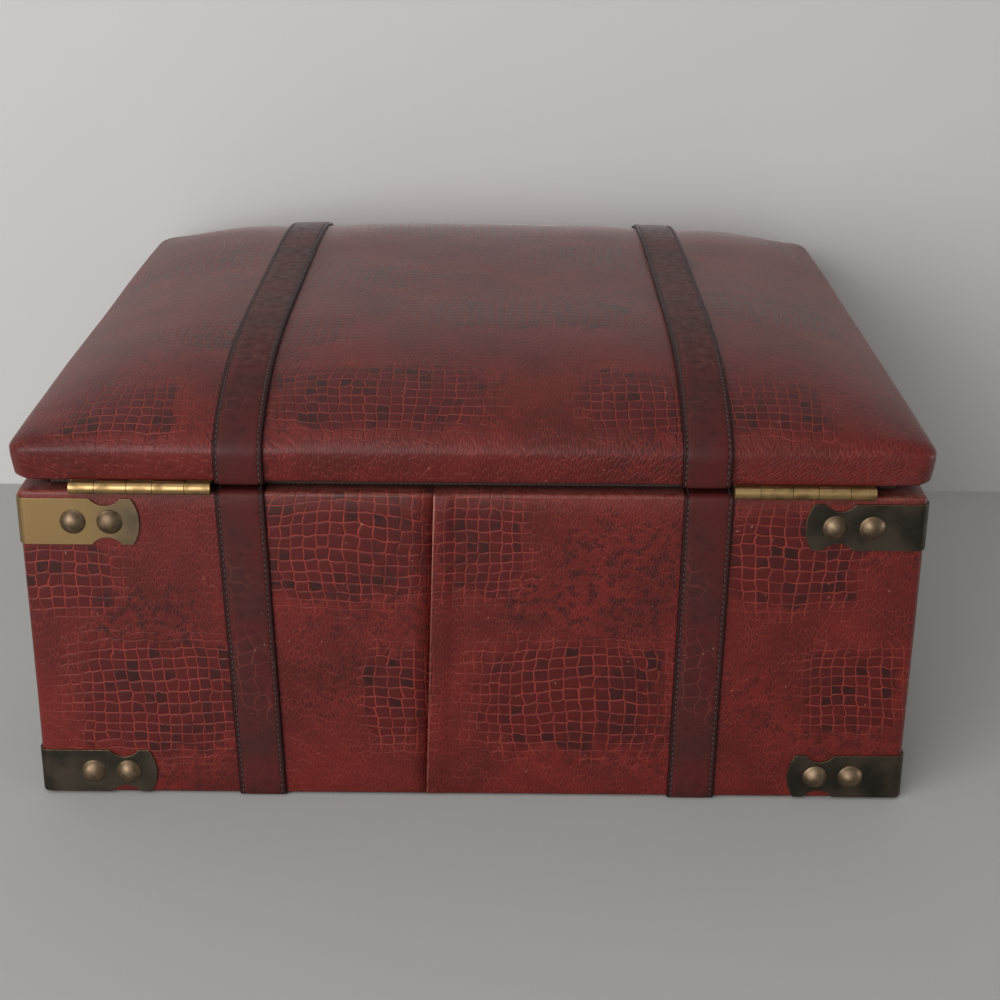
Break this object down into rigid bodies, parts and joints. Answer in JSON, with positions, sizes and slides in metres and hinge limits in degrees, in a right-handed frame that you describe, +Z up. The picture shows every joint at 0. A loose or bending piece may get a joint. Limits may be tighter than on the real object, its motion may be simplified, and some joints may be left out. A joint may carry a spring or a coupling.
{
  "type": "stationery box",
  "caption": "Leathercloth box with a padded hinged lid, leather straps with buckled tongues, brass hinges and corner brackets.",
  "frame": {"origin": "centre of the rest face, under the middle of the base", "axes": "+Z up, +Y towards the hinges at the back, -Y towards the buckles at the front, +X to the right seen from the front"},
  "size_m": [0.3372, 0.3228, 0.1675],
  "materials": {
    "board": "sanded fibreboard",
    "leathercloth": "crocodile-embossed, satin",
    "strap_leather": "smooth, satin, stitched",
    "lining": "fine woven cloth on card",
    "felt": "felt",
    "foam": "open-cell foam",
    "bracket_brass": "antiqued",
    "nail_brass": "antiqued, worn",
    "hinge_brass": "pressed, satin",
    "buckle_brass": "antiqued, worn",
    "steel": "plain"
  },
  "bodies": {
    "base": {"front_panel": "board", "back_panel": "board", "left_panel": "board", "right_panel": "board", "floor_panel": "board", "base_cover": "leathercloth", "base_felt": "felt", "lining_front": "lining", "lining_back": "lining", "lining_left": "lining", "lining_right": "lining", "floor_pad": "lining", "back_strap_left": "strap_leather", "back_strap_right": "strap_leather", "front_strap_left": "strap_leather", "front_strap_right": "strap_leather", "bracket_back_left_top": "bracket_brass", "bracket_back_right_top": "bracket_brass", "bracket_back_left_bottom": "bracket_brass", "bracket_back_right_bottom": "bracket_brass", "bracket_front_left_top": "bracket_brass", "bracket_front_right_top": "bracket_brass", "bracket_front_left_bottom": "bracket_brass", "bracket_front_right_bottom": "bracket_brass", "corner_nails": "nail_brass", "hinge_base_leaf_left": "hinge_brass", "hinge_base_leaf_right": "hinge_brass", "hinge_pin_left": "hinge_brass", "hinge_pin_right": "hinge_brass", "hinge_base_screws": "hinge_brass", "strike_plate_left": "steel", "strike_plate_right": "steel"},
    "lid": {"lid_board": "board", "lid_foam": "foam", "lid_cover": "leathercloth", "lid_lining": "lining", "lid_strap_left": "strap_leather", "lid_strap_right": "strap_leather", "hinge_lid_leaf_left": "hinge_brass", "hinge_lid_leaf_right": "hinge_brass", "hinge_lid_screws": "hinge_brass"},
    "tongue_left": {"tongue_left": "strap_leather", "buckle_tab_left": "strap_leather", "buckle_frame_left": "buckle_brass", "buckle_prong_left": "buckle_brass", "strap_keeper_left": "strap_leather", "magnet_left": "steel"},
    "tongue_right": {"tongue_right": "strap_leather", "buckle_tab_right": "strap_leather", "buckle_frame_right": "buckle_brass", "buckle_prong_right": "buckle_brass", "strap_keeper_right": "strap_leather", "magnet_right": "steel"}
  },
  "joints": [
    {"name": "lid_hinge", "type": "hinge", "parent": "base", "child": "lid", "pos_m": [0, 0.1572, 0.1276], "axis": [-1, 0, 0], "range_deg": [0, 172]},
    {"name": "tongue_left_flex", "type": "hinge", "parent": "lid", "child": "tongue_left", "pos_m": [-0.084, -0.1588, 0.141], "axis": [-1, 0, 0], "range_deg": [0, 100]},
    {"name": "tongue_right_flex", "type": "hinge", "parent": "lid", "child": "tongue_right", "pos_m": [0.084, -0.1588, 0.141], "axis": [-1, 0, 0], "range_deg": [0, 100]}
  ]
}
